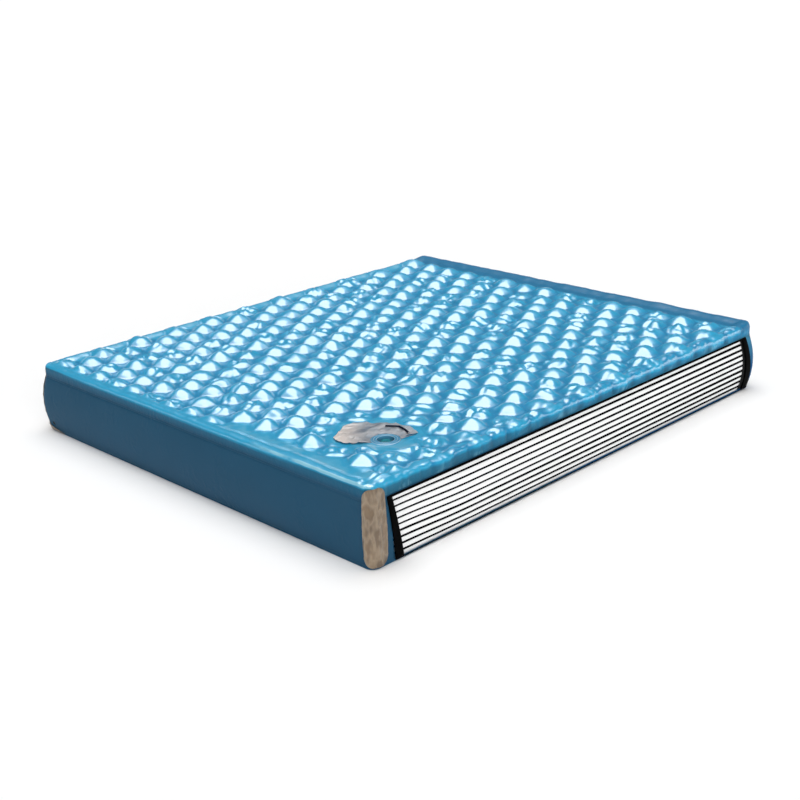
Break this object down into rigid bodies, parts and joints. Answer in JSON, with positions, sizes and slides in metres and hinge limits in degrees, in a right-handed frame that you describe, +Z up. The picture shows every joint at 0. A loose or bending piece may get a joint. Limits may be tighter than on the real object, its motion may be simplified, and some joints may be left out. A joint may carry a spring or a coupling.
{
  "type": "waterbed mattress",
  "caption": "Rectangular vinyl waterbed mattress with a bubble-textured top, a side cut open to show its stacked fibre layers, welded corner patches and a screw-capped fill valve.",
  "frame": {"origin": "middle of the mattress's underside, on the floor", "axes": "+X towards the head end, along the length; +Y away from the side that is cut open; +Z up"},
  "size_m": [2.178, 1.8757, 0.288],
  "materials": {
    "top_vinyl": "glossy smooth vinyl",
    "wall_vinyl": "smooth vinyl, half gloss",
    "fibre": "bonded polyester fibre, matt",
    "spacer": "dark scrim, matt",
    "binding": "matt black vinyl strip",
    "corner_vinyl": "welded vinyl patch, crinkled",
    "webbing": "woven strap, matt",
    "sheet_vinyl": "smooth vinyl, half gloss",
    "valve_clear": "clear moulded vinyl, glossy",
    "diaphragm": "thin flexible vinyl",
    "valve_cap": "moulded plastic, glossy",
    "seal": "matt rubber"
  },
  "bodies": {
    "bladder": {"top_panel": "top_vinyl", "bottom_panel": "wall_vinyl", "foot_wall": "wall_vinyl", "head_wall": "wall_vinyl", "far_side_wall": "wall_vinyl", "near_wall_foot_post": "wall_vinyl", "near_wall_head_post": "wall_vinyl", "binding_foot_side": "binding", "binding_head_side": "binding", "binding_top": "binding", "binding_bottom": "binding", "fibre_layer_01": "fibre", "fibre_layer_02": "fibre", "fibre_layer_03": "fibre", "fibre_layer_04": "fibre", "fibre_layer_05": "fibre", "fibre_layer_06": "fibre", "fibre_layer_07": "fibre", "fibre_layer_08": "fibre", "fibre_layer_09": "fibre", "fibre_layer_10": "fibre", "spacer_sheet_01": "spacer", "spacer_sheet_02": "spacer", "spacer_sheet_03": "spacer", "spacer_sheet_04": "spacer", "spacer_sheet_05": "spacer", "spacer_sheet_06": "spacer", "spacer_sheet_07": "spacer", "spacer_sheet_08": "spacer", "spacer_sheet_09": "spacer", "corner_tie_near_foot": "webbing", "corner_tie_near_head": "webbing", "corner_tie_far_head": "webbing", "corner_tie_far_foot": "webbing", "corner_patch_near_foot": "corner_vinyl", "corner_patch_far_foot": "corner_vinyl", "valve_sheet": "sheet_vinyl", "valve_flange": "valve_clear", "valve_diaphragm": "diaphragm"},
    "valve_neck_body": {"valve_neck": "valve_clear"},
    "plug_carrier": {"valve_plug": "valve_cap", "cap_seal": "seal"},
    "cap_body": {"valve_cap": "valve_cap"}
  },
  "joints": [
    {"name": "neck_pull", "type": "slide", "parent": "bladder", "child": "valve_neck_body", "axis": [0, 0, 1], "range_m": [0, 0.02], "deforming": ["valve_diaphragm"]},
    {"name": "cap_lift", "type": "slide", "parent": "valve_neck_body", "child": "plug_carrier", "axis": [0, 0, 1], "range_m": [0, 0.008]},
    {"name": "cap_turn", "type": "hinge", "parent": "plug_carrier", "child": "cap_body", "pos_m": [-0.749, -0.661, 0.25], "axis": [0, 0, 1], "range_deg": [0, 720]}
  ],
  "couplings": [
    {"joint": "cap_lift", "follows": "cap_turn", "m_per_rad": 0.0006366}
  ]
}
